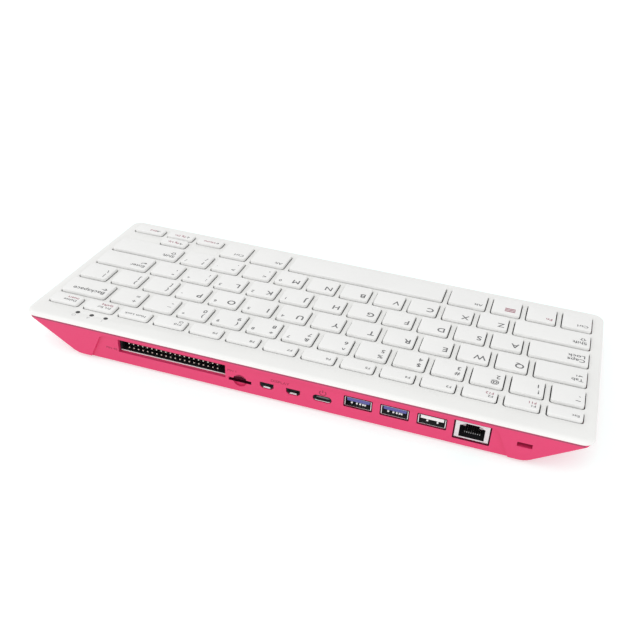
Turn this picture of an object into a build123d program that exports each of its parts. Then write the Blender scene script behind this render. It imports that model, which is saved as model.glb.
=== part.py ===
from build123d import *
import os
from math import atan2, cos, degrees, sin

# A keyboard computer: a wedge-shaped case with a full key deck on top, a row of sockets
# in the rear wall and one circuit board inside.
# Millimetres. +Z is up, +X is the typist's right and +Y is the rear.
# The origin is on the table, under the middle of the case.

os.makedirs("parts", exist_ok=True)

# Whole case
case_width = 286.0
case_depth = 122.0
rear_height = 22.7  # rear edge of the deck above the table
front_height = 9.23
case_corner = 6.0
overrun = 1.0  # how far a cut runs past what it cuts

# Top case: the white deck with a shallow rim
deck_thickness = 1.6
deck_edge_bevel = 1.4
rim_height = 2.8
rim_wall = 2.0

# Bottom case: the boat-shaped hull
foot_gap = 1.4  # underside above the table
hull_inset = 0.9  # hull stands inside the rim
hull_wall = 2.0
hull_rear_wall = 3.2
hull_bilge = 10.0  # rounding from the underside into the flanks
hull_edge_round = 1.0
flank_slope_share = 1.47  # sideways run of the flanks for each unit of height
bow_slope_share = 1.0  # backward run of the front slope for each unit of height
lip_height = 0.9
lip_wall = 1.0
lip_clearance = 0.25
catch_x_share = 0.245  # of the case's width: snap catches on the lip, front and rear
catch_length = 8.0
catch_bite = 0.5
catch_gap = 0.1
catch_level = 0.4
catch_height = 0.4
catch_taper = 25.0  # degrees
vent_count = 5
vent_width = 2.0
vent_length = 14.0
vent_pitch = 9.0
vent_x_share = 0.182
vent_y = 2.0

# Feet
foot_length = 26.0
foot_width = 9.0
foot_corner = 2.5
foot_socket = 0.6
front_foot_inset = 27.0  # from the side of the case
front_foot_setback = 17.0  # from its front
rear_foot_inset = 45.0
rear_foot_setback = 13.0  # from its rear

# Key field on the deck
side_margin = 6.11  # deck beside the field; the keys then stand 19.05 apart
rear_margin = 12.5
front_margin = 6.78
function_row_share = 0.642  # of the pitch of the letter rows
space_row_share = 0.997
web = 2.45  # bar of deck between two openings
arrow_web = 1.2
opening_corner = 1.2
field_units = 14.5
function_row_count = 14
function_key_count = 10
number_key_count = 13
upper_letter_count = 12
middle_letter_count = 11
lower_letter_count = 10

# Key caps
key_clearance = 0.4
key_rise = 1.6
key_height = 3.4
key_taper = 4.0  # degrees
key_corner = 1.0
key_edge = 0.3
key_wall = 1.1
key_top = 1.2
key_travel = 1.5

# Under the keys
travel_clearance = 0.3
dome_share = 1.2  # of half the smallest hollow under a key
dome_top_share = 0.68
dome_sides = 6
membrane_thickness = 0.3
plate_thickness = 0.6
plate_side_setback = 2.0
plate_front_margin = 0.5
plate_rear_margin = 6.0
stake_size = 1.5
stake_clearance = 0.15
stake_head = 3.0
stake_head_height = 0.6
stakes_in_row = 4

# Indicator lamps at the rear right of the deck
lens_diameter = 2.2
lens_clearance = 0.1
lens_pitch = 7.9
lens_inset = 27.8  # from the right edge of the field
lens_setback = 3.9  # behind the rear row of openings
lens_count = 3
lens_sides = 8

# Circuit board
board_standoff = 2.2
board_thickness = 1.6
board_left_share = -0.371  # places across the case are shares of its width
board_right_share = 0.343
board_depth = 58.4
board_gap = 0.5
board_corner = 3.0
screw_diameter = 2.5
screw_clearance = 0.1
screw_head = 4.6
screw_head_height = 1.4
screw_end_gap = 0.3
screw_sides = 6
boss_size = 6.0
screw_left_share = -0.182
screw_right_share = 0.294
screw_front_margin = 10.0  # behind the front edge of the spreader
screw_rear_margin = 6.0

# Chips on the board, with their setbacks from its rear edge
processor_size = 15.5
processor_height = 1.0
processor_x_share = 0.063
processor_setback = 32.4
pad_thickness = 1.0
pad_margin = 1.5
memory_size = (10.0, 14.0, 0.9)
memory_x_share = 0.126
memory_setback = 32.4
bus_chip_size = (8.0, 8.0, 0.9)
bus_chip_x_share = -0.112
bus_chip_setback = 30.4
network_chip_size = (7.0, 7.0, 0.9)
network_chip_x_share = -0.238
network_chip_setback = 22.4
radio_can_size = (14.0, 11.0, 1.6)
radio_can_x_share = 0.238
radio_can_setback = 46.4
power_chip_size = (5.0, 5.0, 0.8)
power_chip_x_share = -0.049
power_chip_setback = 22.4

# Heat spreader over the chips
spreader_thickness = 1.2
spreader_left_share = -0.21
spreader_right_share = 0.322
spreader_front_setback = 51.4  # from the rear edge of the board
spreader_rear_setback = 17.4
spreader_corner = 3.0
spreader_slot_count = 4
spreader_slot_pitch = 22.0
spreader_slot_width = 3.0
spreader_slot_length = 8.0
spreader_slot_margin = 3.0  # behind the front edge

# Port panel in the rear wall
panel_depth = 1.2
panel_top_share = 0.703  # of the case's width
panel_bottom_share = 0.754
panel_top_gap = 2.8  # below the parting line
panel_corner = 4.0
port_clearance = 0.3
port_setback = 0.3
lock_x_share = -0.397
lock_z = 11.4
lock_width = 7.0
lock_height = 2.6

# Network jack, sunk through the board
jack_x_share = -0.312
jack_width = 16.0
jack_height = 10.4
jack_depth = 15.0
jack_drop = 1.8  # below the top of the board
jack_cavity_width = 11.9
jack_cavity_height = 7.0
jack_cavity_depth = 12.0
jack_floor = 1.0
jack_latch_width = 6.2
jack_latch_height = 1.4
jack_tab_width = 2.0
jack_tab_length = 6.0
jack_tab_height = 0.5
contact_count = 8
contact_pitch = 1.02
contact_size = 0.4
contact_rise = 1.4
contact_start = 4.5

# Three data sockets
data_x_share = -0.1206
data_pitch_share = 0.0626
data_count = 3
data_width = 13.2
data_height = 5.8
data_depth = 14.0
data_lift = 1.2  # above the board
data_skin = 0.4
data_corner = 0.6
data_back = 3.0
data_foot_width = 9.0
tongue_width = 11.0
tongue_thickness = 1.9
tongue_setback = 0.6
tongue_gap = 0.5  # under the roof of the socket

# Power socket
power_x_share = -0.0587
power_width = 9.0
power_height = 3.4
power_depth = 7.5
power_skin = 0.4
power_back = 1.6
power_tongue_width = 6.4
power_tongue_thickness = 0.8
power_tongue_setback = 0.8

# Two display sockets
display_x_share = -0.007
display_pitch_share = 0.0476
display_width = 6.6
display_height = 3.1
display_depth = 7.5
display_skin = 0.35
display_step = 1.3  # how far each lower corner is cut in
display_back = 1.6
display_tongue_width = 3.6
display_tongue_thickness = 0.6
display_tongue_setback = 0.6

# Memory card slot
card_x_share = 0.0895
card_width = 13.6
card_height = 1.7
card_depth = 15.0
card_skin = 0.3
card_slot_width = 12.0
card_slot_height = 1.9
scoop_diameter = 7.2
scoop_depth = 1.2

# Pin header in its recess
header_x_share = 0.2182
header_share = 0.2028  # of the case's width; the pins then stand 2.54 apart
header_end = 4.87  # from the last pin to the end of the header
header_height = 8.6
header_depth = 9.0
header_setback = 0.1  # behind the inner face of the panel wall
header_wall = 1.0
header_cavity_height = 6.0
header_cavity_depth = 6.6
header_window_margin = 0.15
header_window_height = 7.7
pin_columns = 20
pin_size = 0.64
pin_clearance = 0.02
pin_setback = 0.1
pin_bend_gap = 1.0

# Flat cable from the keys to the board
ribbon_x_share = -0.283
ribbon_width = 18.0
ribbon_thickness = 0.3
ribbon_setback = 52.4  # from the rear edge of the board
ribbon_bend = 2.0
ribbon_run = 7.0
ribbon_reach = 3.0
ribbon_slot_margin = 1.2
ribbon_end_gap = 0.1
socket_size = (23.0, 5.0, 2.0)
socket_gap = 0.1

# Deck plane, tilted so that the case stays centred on the origin
tilt = atan2(rear_height - front_height, case_depth)
edge_loss = deck_edge_bevel * sin(tilt)
deck_length = (case_depth - rim_height * sin(tilt) + edge_loss) / cos(tilt)
deck_centre_y = -(rim_height * sin(tilt) + edge_loss) / 2
deck_centre_z = rear_height - deck_length / 2 * sin(tilt)
deck = Plane(
    origin=(0, deck_centre_y, deck_centre_z),
    x_dir=(1, 0, 0),
    z_dir=(0, -sin(tilt), cos(tilt)),
)
deck_up = Axis(deck.origin, deck.z_dir)
parting = deck.offset(-rim_height)

# Levels below the deck, square to it
dome_level = key_rise - key_top
membrane_level = key_rise - key_height - key_travel - travel_clearance
plate_level = membrane_level - membrane_thickness
plate_underside = plate_level - plate_thickness

# Levels above the table
floor_level = foot_gap + hull_wall
board_underside = floor_level + board_standoff
board_level = board_underside + board_thickness
pad_level = board_level + processor_height
spreader_level = pad_level + pad_thickness
spreader_top = spreader_level + spreader_thickness

# Rear wall, seen as faces that look forward into the case
hull_rear = case_depth / 2 - hull_inset
panel_y = hull_rear - panel_depth
inner_rear = hull_rear - hull_rear_wall
outside = Plane.XZ.offset(-hull_rear - overrun)
port_mouth = Plane.XZ.offset(-panel_y + port_setback)
wall_cut = hull_rear_wall + 2 * overrun
board_rear = inner_rear - board_gap

# Heights of the socket centres
jack_z = board_level - jack_drop + jack_height / 2
data_z = board_level + data_lift + data_height / 2
power_z = board_level + power_height / 2
display_z = board_level + display_height / 2
card_z = board_level + card_height / 2
header_z = board_level + header_height - header_wall - header_cavity_height / 2
jack_cavity_z = board_level - jack_drop + jack_floor + jack_cavity_height / 2

# Places across the case
lock_x = lock_x_share * case_width
jack_x = jack_x_share * case_width
power_x = power_x_share * case_width
card_x = card_x_share * case_width
header_x = header_x_share * case_width
ribbon_x = ribbon_x_share * case_width
data_places = [(data_x_share - data_pitch_share * i) * case_width for i in range(data_count)]
display_places = [display_x_share * case_width, (display_x_share + display_pitch_share) * case_width]
header_width = header_share * case_width
pin_pitch = (header_width - 2 * header_end) / (pin_columns - 1)
panel_top_width = panel_top_share * case_width
panel_bottom_width = panel_bottom_share * case_width
front_foot_x = case_width / 2 - front_foot_inset
rear_foot_x = case_width / 2 - rear_foot_inset
foot_places = [(side * front_foot_x, front_foot_setback - case_depth / 2) for side in (-1, 1)]
foot_places += [(side * rear_foot_x, case_depth / 2 - rear_foot_setback) for side in (-1, 1)]

# Board and heat spreader, seen from above
board_left = board_left_share * case_width
board_right = board_right_share * case_width
board_front = board_rear - board_depth
spreader_left = spreader_left_share * case_width
spreader_right = spreader_right_share * case_width
spreader_front = board_rear - spreader_front_setback
spreader_rear = board_rear - spreader_rear_setback
spreader_slot_y = spreader_front + spreader_slot_margin + spreader_slot_length / 2
screw_places = [
    (share * case_width, y)
    for share in (screw_left_share, screw_right_share)
    for y in (spreader_front + screw_front_margin, spreader_rear - screw_rear_margin)
]
processor_x = processor_x_share * case_width
processor_y = board_rear - processor_setback
ribbon_y = board_rear - ribbon_setback

# Key rows: node and width in key units, from the left
function_share = field_units / function_row_count
function_shares = [("escape_key", function_share)]
function_shares += [("function_keys", function_share)] * function_key_count
function_shares += [("num_lock_key", function_share), ("print_screen_key", function_share)]
function_shares += [("delete_key", function_share)]
number_shares = [("number_keys", 1)] * number_key_count + [("backspace_key", 1.5)]
upper_shares = [("tab_key", 1.5)] + [("upper_letter_keys", 1)] * upper_letter_count
upper_shares += [("backslash_key", 1)]
middle_shares = [("caps_lock_key", 1.75)] + [("middle_letter_keys", 1)] * middle_letter_count
middle_shares += [("enter_key", 1.75)]
lower_shares = [("left_shift_key", 2.25)] + [("lower_letter_keys", 1)] * lower_letter_count
lower_shares += [("right_shift_key", 2.25)]
letter_shares = [number_shares, upper_shares, middle_shares, lower_shares]
space_shares = [("left_control_key", 1), ("fn_key", 1), ("menu_key", 1), ("left_alt_key", 1.25)]
space_shares += [("space_bar", 4.875), ("right_alt_key", 1.25), ("right_control_key", 1)]
front_arrow_shares = [("left_arrow_key", 1), ("down_arrow_key", 1), ("right_arrow_key", 1.125)]
rear_arrow_shares = [("up_arrow_key", 1)]

field_depth = deck_length - rear_margin - front_margin
row_pitch = field_depth / (len(letter_shares) + function_row_share + space_row_share)
function_row_pitch = function_row_share * row_pitch
space_row_depth = space_row_share * row_pitch
field_rear = deck_length / 2 - rear_margin
number_rear = field_rear - function_row_pitch
space_rear = number_rear - len(letter_shares) * row_pitch
field_front = space_rear - space_row_depth
field_width = case_width - 2 * side_margin
key_pitch = (field_width + web) / field_units
arrow_depth = (space_row_depth - arrow_web) / 2
openings = {}


def place_row(shares, rear, depth, start=0):
    """Note the opening of every key in a row: its centre and size on the deck."""
    left = start
    for node, share in shares:
        x = (left + share / 2 - field_units / 2) * key_pitch
        place = (x, rear - depth / 2, share * key_pitch - web, depth)
        openings.setdefault(node, []).append(place)
        left += share
    return left


place_row(function_shares, field_rear, function_row_pitch - web)
for index, shares in enumerate(letter_shares):
    place_row(shares, number_rear - index * row_pitch, row_pitch - web)
arrow_start = place_row(space_shares, space_rear, space_row_depth)
arrow_rear_start = arrow_start + front_arrow_shares[0][1]
place_row(front_arrow_shares, field_front + arrow_depth, arrow_depth, arrow_start)
place_row(rear_arrow_shares, space_rear, arrow_depth, arrow_rear_start)
all_openings = [place for places in openings.values() for place in places]

# Stakes stand in the bars between rows
plate_width = field_width - 2 * plate_side_setback
stake_pitch = plate_width / stakes_in_row
stake_rows = [number_rear, space_rear]
stake_columns = [(i - (stakes_in_row - 1) / 2) * stake_pitch for i in range(stakes_in_row)]
stake_places = [(x, y + web / 2) for x in stake_columns for y in stake_rows]
lens_x = field_width / 2 - lens_inset
lens_places = [
    (lens_x + (i - (lens_count - 1) / 2) * lens_pitch, field_rear + lens_setback)
    for i in range(lens_count)
]
plate_depth = field_depth + plate_front_margin + plate_rear_margin
plate_y = field_rear + plate_rear_margin - plate_depth / 2
ribbon_slot_y = (ribbon_y - deck_centre_y + plate_level * sin(tilt)) / cos(tilt)
ribbon_top = deck_centre_z + ribbon_slot_y * sin(tilt) + plate_level * cos(tilt) - ribbon_end_gap
ribbon_z = board_level + socket_size[2] / 2


def finish(piece, name):
    """Label a finished piece and write it out."""
    piece.part.label = name
    export_step(piece.part, f"parts/{name}.step")


# Top case
with BuildPart() as top_case:
    with BuildSketch(deck):
        RectangleRounded(case_width, deck_length, case_corner)
    extrude(amount=-rim_height)
    chamfer(top_case.faces().sort_by(deck_up)[-1].edges(), deck_edge_bevel)
    with BuildSketch(parting):
        Rectangle(case_width - 2 * rim_wall, deck_length - 2 * rim_wall)
        chamfer(vertices(), case_corner - rim_wall)
    extrude(amount=rim_height - deck_thickness, mode=Mode.SUBTRACT)
    # Pockets for the snap catches
    with BuildSketch(parting.offset(catch_level - catch_gap)):
        with GridLocations(2 * catch_x_share * case_width, deck_length - 2 * rim_wall, 2, 2):
            Rectangle(catch_length + 2 * catch_gap, 2 * (catch_bite + catch_gap))
    extrude(amount=catch_height + 2 * catch_gap, mode=Mode.SUBTRACT)
    # Key openings
    with BuildSketch(deck.offset(overrun)):
        for x, y, width, depth in all_openings:
            with Locations((x, y)):
                Rectangle(width, depth)
        chamfer(vertices(), opening_corner)
    extrude(amount=-deck_thickness - 2 * overrun, mode=Mode.SUBTRACT)
    with BuildSketch(deck.offset(overrun)):
        with Locations(*lens_places):
            RegularPolygon(lens_diameter / 2 + lens_clearance, lens_sides, major_radius=False)
    extrude(amount=-deck_thickness - 2 * overrun, mode=Mode.SUBTRACT)
    with BuildSketch(deck.offset(-deck_thickness)):
        with Locations(*stake_places):
            Rectangle(stake_size, stake_size)
    extrude(amount=plate_underside + deck_thickness)
    with BuildSketch(deck.offset(plate_underside)):
        with Locations(*stake_places):
            Rectangle(stake_head, stake_head)
    extrude(amount=-stake_head_height)
finish(top_case, "top_case")

# Key caps, each node with all the keys that carry its name
for node, places in openings.items():
    with BuildPart() as key_caps:
        with BuildSketch(deck.offset(key_rise - key_height)):
            for x, y, width, depth in places:
                with Locations((x, y)):
                    Rectangle(width - 2 * key_clearance, depth - 2 * key_clearance)
            chamfer(vertices(), key_corner)
        extrude(amount=key_height, taper=key_taper)
        chamfer(key_caps.faces().group_by(deck_up)[-1].edges(), key_edge)
        with BuildSketch(deck.offset(key_rise - key_height)):
            for x, y, width, depth in places:
                with Locations((x, y)):
                    Rectangle(
                        width - 2 * key_clearance - 2 * key_wall,
                        depth - 2 * key_clearance - 2 * key_wall,
                    )
        extrude(amount=key_height - key_top, mode=Mode.SUBTRACT)
    finish(key_caps, node)

# Rubber domes, one under the middle of each key
dome_height = dome_level - membrane_level
dome_room = arrow_depth / 2 - key_clearance - key_wall
dome_radius = dome_share * dome_room
dome_slope = degrees(atan2((dome_share - dome_top_share) * dome_room, dome_height))
with BuildPart() as rubber_domes:
    with BuildSketch(deck.offset(membrane_level)):
        with Locations(*[(x, y) for x, y, width, depth in all_openings]):
            RegularPolygon(dome_radius, dome_sides, major_radius=False)
    extrude(amount=dome_height, taper=dome_slope)
finish(rubber_domes, "rubber_domes")

# Switch membrane and the steel plate behind it
for name, level, thickness in [
    ("membrane", plate_level, membrane_thickness),
    ("keyboard_plate", plate_underside, plate_thickness),
]:
    with BuildPart() as sheet:
        with BuildSketch(deck.offset(level)):
            with Locations((0, plate_y)):
                Rectangle(plate_width, plate_depth)
            with Locations(*stake_places):
                Rectangle(
                    stake_size + 2 * stake_clearance, stake_size + 2 * stake_clearance, mode=Mode.SUBTRACT
                )
            if name == "keyboard_plate":
                with Locations((ribbon_x, ribbon_slot_y)):
                    Rectangle(
                        ribbon_width + 2 * ribbon_slot_margin, 2 * ribbon_slot_margin, mode=Mode.SUBTRACT
                    )
        extrude(amount=thickness)
    finish(sheet, name)

# Indicator lenses stand on the membrane and end flush with the deck
with BuildPart() as indicator_lenses:
    with BuildSketch(deck.offset(membrane_level)):
        with Locations(*lens_places):
            RegularPolygon(lens_diameter / 2, lens_sides, major_radius=False)
    extrude(amount=-membrane_level)
finish(indicator_lenses, "indicator_lenses")


def flank(side):
    """Sloping side of the hull, through the edge of the parting plane."""
    return Plane(
        origin=parting.from_local_coords((side * (case_width / 2 - hull_inset), 0, 0)),
        x_dir=deck.y_dir,
        z_dir=(side * cos(tilt), flank_slope_share * sin(tilt), -flank_slope_share * cos(tilt)),
    )


bow = Plane(
    origin=parting.from_local_coords((0, hull_inset - deck_length / 2, 0)),
    x_dir=(1, 0, 0),
    z_dir=(0, -1, -bow_slope_share),
)


def hull_block(skin, bottom, rear, lid):
    """Block between the hull's sides, moved in by the skin, from its bottom up to a lid plane."""
    with BuildPart() as block:
        with BuildSketch(Plane.XY.offset(bottom)):
            with Locations((0, (rear - case_depth / 2) / 2)):
                Rectangle(case_width, rear + case_depth / 2)
        extrude(amount=rear_height)
        for cut in (lid, bow.offset(-skin), flank(-1).offset(-skin), flank(1).offset(-skin)):
            split(bisect_by=cut, keep=Keep.BOTTOM)
    return block.part


def display_outline(margin):
    """Mouth of a display socket: a rectangle with its lower corners cut in."""
    with BuildSketch() as outline:
        Rectangle(display_width + 2 * margin, display_height + 2 * margin)
        chamfer(outline.vertices().group_by(Axis.Y)[0], display_step)
    return outline.sketch


def screw_outline(margin):
    """Section of a screw's shank, or of the hole that clears it."""
    with BuildSketch() as outline:
        RegularPolygon(screw_diameter / 2 + margin, screw_sides, major_radius=False)
    return outline.sketch


# Bottom case
outer_hull = hull_block(0, foot_gap, hull_rear, parting)
inner_hull = hull_block(hull_wall, floor_level, inner_rear, parting.offset(overrun))
panel_top = parting.from_local_coords((0, deck_length / 2 - hull_inset, 0)).Z - panel_top_gap
with BuildPart() as bottom_case:
    add(outer_hull)
    # Upper corners that follow the rim of the top case
    with BuildSketch(parting):
        RectangleRounded(
            case_width - 2 * hull_inset, deck_length - 2 * hull_inset, case_corner - hull_inset
        )
    extrude(amount=-rear_height, mode=Mode.INTERSECT)
    underside = bottom_case.faces().sort_by(Axis.Z)[0]
    bilge_edges = underside.edges().group_by(Axis.X)
    fillet([bilge_edges[0][0], bilge_edges[-1][0]], hull_bilge)
    rear_face = bottom_case.faces().sort_by(Axis.Y)[-1]
    fillet(rear_face.edges().sort_by(Axis.Z)[:-1], hull_edge_round)
    add(inner_hull, mode=Mode.SUBTRACT)
    # Lip that stands inside the rim of the top case
    lip_inset = rim_wall + lip_clearance
    with BuildSketch(parting):
        Rectangle(case_width - 2 * lip_inset, deck_length - 2 * lip_inset)
        chamfer(vertices(), case_corner - rim_wall)
        Rectangle(
            case_width - 2 * lip_inset - 2 * lip_wall,
            deck_length - 2 * lip_inset - 2 * lip_wall,
            mode=Mode.SUBTRACT,
        )
    extrude(amount=lip_height)
    # Snap catches on the lip
    with BuildSketch(parting.offset(catch_level)):
        with GridLocations(2 * catch_x_share * case_width, deck_length - 2 * lip_inset, 2, 2):
            Rectangle(catch_length, 2 * (lip_clearance + catch_bite))
    extrude(amount=catch_height, taper=catch_taper)
    # Bosses for the board screws
    with BuildSketch(Plane.XY.offset(floor_level)):
        with Locations(*screw_places):
            Rectangle(boss_size, boss_size)
            add(screw_outline(screw_clearance), mode=Mode.SUBTRACT)
    extrude(amount=board_standoff)
    # Vent slots and foot sockets in the underside
    with BuildSketch(Plane.XY.offset(foot_gap - overrun)):
        for side in (-1, 1):
            with Locations((side * vent_x_share * case_width, vent_y)):
                with GridLocations(vent_pitch, vent_length, vent_count, 1):
                    Rectangle(vent_width, vent_length)
    extrude(amount=hull_wall + 2 * overrun, mode=Mode.SUBTRACT)
    with BuildSketch(Plane.XY.offset(foot_gap)):
        with Locations(*foot_places):
            Rectangle(foot_length, foot_width)
        chamfer(vertices(), foot_corner)
    extrude(amount=foot_socket, mode=Mode.SUBTRACT)
    # Recessed port panel, wider at the bottom
    with BuildSketch(outside):
        with BuildLine():
            Polyline(
                (-panel_bottom_width / 2, foot_gap - overrun),
                (-panel_top_width / 2, panel_top),
                (panel_top_width / 2, panel_top),
                (panel_bottom_width / 2, foot_gap - overrun),
                close=True,
            )
        make_face()
        fillet(vertices().group_by(Axis.Y)[-1], panel_corner)
    extrude(amount=overrun + panel_depth, mode=Mode.SUBTRACT)
    # Windows for the sockets
    with BuildSketch(outside):
        with Locations((jack_x, jack_z)):
            Rectangle(jack_width + 2 * port_clearance, jack_height + 2 * port_clearance)
        with Locations(*[(x, data_z) for x in data_places]):
            Rectangle(data_width + 2 * port_clearance, data_height + 2 * port_clearance)
        with Locations((power_x, power_z)):
            SlotOverall(power_width + 2 * port_clearance, power_height + 2 * port_clearance)
        with Locations(*[(x, display_z) for x in display_places]):
            add(display_outline(port_clearance))
        with Locations((card_x, card_z)):
            Rectangle(card_slot_width, card_slot_height)
        with Locations((header_x, header_z)):
            Rectangle(header_width + 2 * header_window_margin, header_window_height)
        with Locations((lock_x, lock_z)):
            Rectangle(lock_width, lock_height)
    extrude(amount=wall_cut, mode=Mode.SUBTRACT)
    with BuildSketch(outside):
        with Locations((card_x, card_z)):
            Circle(scoop_diameter / 2)
    extrude(amount=overrun + panel_depth + scoop_depth, mode=Mode.SUBTRACT)
finish(bottom_case, "bottom_case")

# Rubber feet
with BuildPart() as rubber_feet:
    with BuildSketch():
        with Locations(*foot_places):
            Rectangle(foot_length, foot_width)
        chamfer(vertices(), foot_corner)
    extrude(amount=foot_gap + foot_socket)
finish(rubber_feet, "rubber_feet")

# Main board, notched for the network jack
jack_back = panel_y - port_setback - jack_depth
with BuildPart() as main_board:
    with BuildSketch(Plane.XY.offset(board_underside)):
        with Locations(((board_left + board_right) / 2, (board_front + board_rear) / 2)):
            Rectangle(board_right - board_left, board_rear - board_front)
        chamfer(vertices(), board_corner)
        notch_depth = board_rear - jack_back + port_clearance
        with Locations((jack_x, board_rear - notch_depth / 2)):
            Rectangle(jack_width + 2 * port_clearance, notch_depth, mode=Mode.SUBTRACT)
        with Locations(*screw_places):
            add(screw_outline(screw_clearance), mode=Mode.SUBTRACT)
    extrude(amount=board_thickness)
finish(main_board, "main_board")

# Chips, each flat on the board
processor_block = (processor_size, processor_size, processor_height)
chips = {
    "processor": (processor_block, processor_x_share, processor_setback),
    "memory_chip": (memory_size, memory_x_share, memory_setback),
    "bus_chip": (bus_chip_size, bus_chip_x_share, bus_chip_setback),
    "network_chip": (network_chip_size, network_chip_x_share, network_chip_setback),
    "radio_can": (radio_can_size, radio_can_x_share, radio_can_setback),
    "power_chip": (power_chip_size, power_chip_x_share, power_chip_setback),
}
for name, (size, share, setback) in chips.items():
    with BuildPart() as chip:
        with BuildSketch(Plane.XY.offset(board_level)):
            with Locations((share * case_width, board_rear - setback)):
                Rectangle(size[0], size[1])
        extrude(amount=size[2])
    finish(chip, name)

# Thermal pad between the processor and the heat spreader
with BuildPart() as thermal_pad:
    with BuildSketch(Plane.XY.offset(pad_level)):
        with Locations((processor_x, processor_y)):
            Rectangle(processor_size - 2 * pad_margin, processor_size - 2 * pad_margin)
    extrude(amount=pad_thickness)
finish(thermal_pad, "thermal_pad")

# Heat spreader on four feet that stand on the board
with BuildPart() as heat_spreader:
    with BuildSketch(Plane.XY.offset(spreader_level)):
        with Locations(((spreader_left + spreader_right) / 2, (spreader_front + spreader_rear) / 2)):
            Rectangle(spreader_right - spreader_left, spreader_rear - spreader_front)
        chamfer(vertices(), spreader_corner)
        with Locations(((spreader_left + spreader_right) / 2, spreader_slot_y)):
            with GridLocations(spreader_slot_pitch, spreader_slot_length, spreader_slot_count, 1):
                Rectangle(spreader_slot_width, spreader_slot_length, mode=Mode.SUBTRACT)
    extrude(amount=spreader_thickness)
    with BuildSketch(Plane.XY.offset(board_level)):
        with Locations(*screw_places):
            Rectangle(boss_size, boss_size)
    extrude(amount=spreader_level - board_level)
    with BuildSketch(Plane.XY.offset(board_level)):
        with Locations(*screw_places):
            add(screw_outline(screw_clearance))
    extrude(amount=spreader_top - board_level, mode=Mode.SUBTRACT)
finish(heat_spreader, "heat_spreader")

# Screws through the spreader and the board into the bosses
with BuildPart() as board_screws:
    with BuildSketch(Plane.XY.offset(floor_level + screw_end_gap)):
        with Locations(*screw_places):
            add(screw_outline(0))
    extrude(amount=spreader_top - floor_level - screw_end_gap)
    with BuildSketch(Plane.XY.offset(spreader_top)):
        with Locations(*screw_places):
            RegularPolygon(screw_head / 2, screw_sides, major_radius=False)
    extrude(amount=screw_head_height)
finish(board_screws, "board_screws")

# Network jack with side tabs that stand on the board
with BuildPart() as network_jack:
    with BuildSketch(port_mouth):
        with Locations((jack_x, jack_z)):
            Rectangle(jack_width, jack_height)
    extrude(amount=jack_depth)
    with BuildSketch(port_mouth):
        with Locations((jack_x, jack_cavity_z)):
            Rectangle(jack_cavity_width, jack_cavity_height)
        with Locations((jack_x, jack_cavity_z + jack_cavity_height / 2)):
            Rectangle(jack_latch_width, 2 * jack_latch_height)
    extrude(amount=jack_cavity_depth, mode=Mode.SUBTRACT)
    with BuildSketch(Plane.XY.offset(board_level)):
        with Locations((jack_x, jack_back + jack_tab_length / 2)):
            Rectangle(jack_width + 2 * port_clearance + 2 * jack_tab_width, jack_tab_length)
        with Locations((jack_x, jack_back + jack_tab_length / 2)):
            Rectangle(jack_width, jack_tab_length, mode=Mode.SUBTRACT)
    extrude(amount=jack_tab_height)
finish(network_jack, "network_jack")

# Spring contacts that rise from the floor of the jack to its back
contact_front = panel_y - port_setback - contact_start
contact_back = panel_y - port_setback - jack_cavity_depth
contact_floor = jack_cavity_z - jack_cavity_height / 2
with BuildPart() as jack_contacts:
    for i in range(contact_count):
        contact_x = jack_x + (i - (contact_count - 1) / 2) * contact_pitch
        with BuildSketch(Plane.YZ.offset(contact_x)):
            with BuildLine():
                Polyline(
                    (contact_front, contact_floor),
                    (contact_front, contact_floor + contact_size),
                    (contact_back, contact_floor + contact_rise + contact_size),
                    (contact_back, contact_floor + contact_rise),
                    close=True,
                )
            make_face()
        extrude(amount=contact_size / 2, both=True)
finish(jack_contacts, "jack_contacts")

# Data sockets: folded metal shells, each on a foot
data_back_y = panel_y - port_setback - data_depth
for index, x in enumerate(data_places):
    with BuildPart() as data_socket:
        with BuildSketch(port_mouth):
            with Locations((x, data_z)):
                Rectangle(data_width, data_height)
            chamfer(vertices(), data_corner)
        extrude(amount=data_depth)
        with BuildSketch(port_mouth):
            with Locations((x, data_z)):
                Rectangle(data_width - 2 * data_skin, data_height - 2 * data_skin)
        extrude(amount=data_depth - data_back, mode=Mode.SUBTRACT)
        with BuildSketch(Plane.XY.offset(board_level)):
            with Locations((x, (data_back_y + board_rear) / 2)):
                Rectangle(data_foot_width, board_rear - data_back_y)
        extrude(amount=data_lift)
    finish(data_socket, f"data_socket_{index + 1}")

# Tongues that hold the contacts of the data sockets
tongue_z = data_z + data_height / 2 - data_skin - tongue_gap - tongue_thickness / 2
for name, places in [("fast_tongues", data_places[:2]), ("plain_tongue", data_places[2:])]:
    with BuildPart() as tongue:
        with BuildSketch(port_mouth.offset(tongue_setback)):
            with Locations(*[(x, tongue_z) for x in places]):
                Rectangle(tongue_width, tongue_thickness)
        extrude(amount=data_depth - data_back - tongue_setback)
    finish(tongue, name)

# Power socket with its centre tongue
with BuildPart() as power_socket:
    with BuildSketch(port_mouth):
        with Locations((power_x, power_z)):
            SlotOverall(power_width, power_height)
    extrude(amount=power_depth)
    with BuildSketch(port_mouth):
        with Locations((power_x, power_z)):
            SlotOverall(power_width - 2 * power_skin, power_height - 2 * power_skin)
            Rectangle(power_tongue_width, power_tongue_thickness, mode=Mode.SUBTRACT)
    extrude(amount=power_depth - power_back, mode=Mode.SUBTRACT)
    with BuildSketch(port_mouth):
        with Locations((power_x, power_z)):
            Rectangle(power_tongue_width, power_tongue_thickness)
    extrude(amount=power_tongue_setback, mode=Mode.SUBTRACT)
finish(power_socket, "power_socket")

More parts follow.
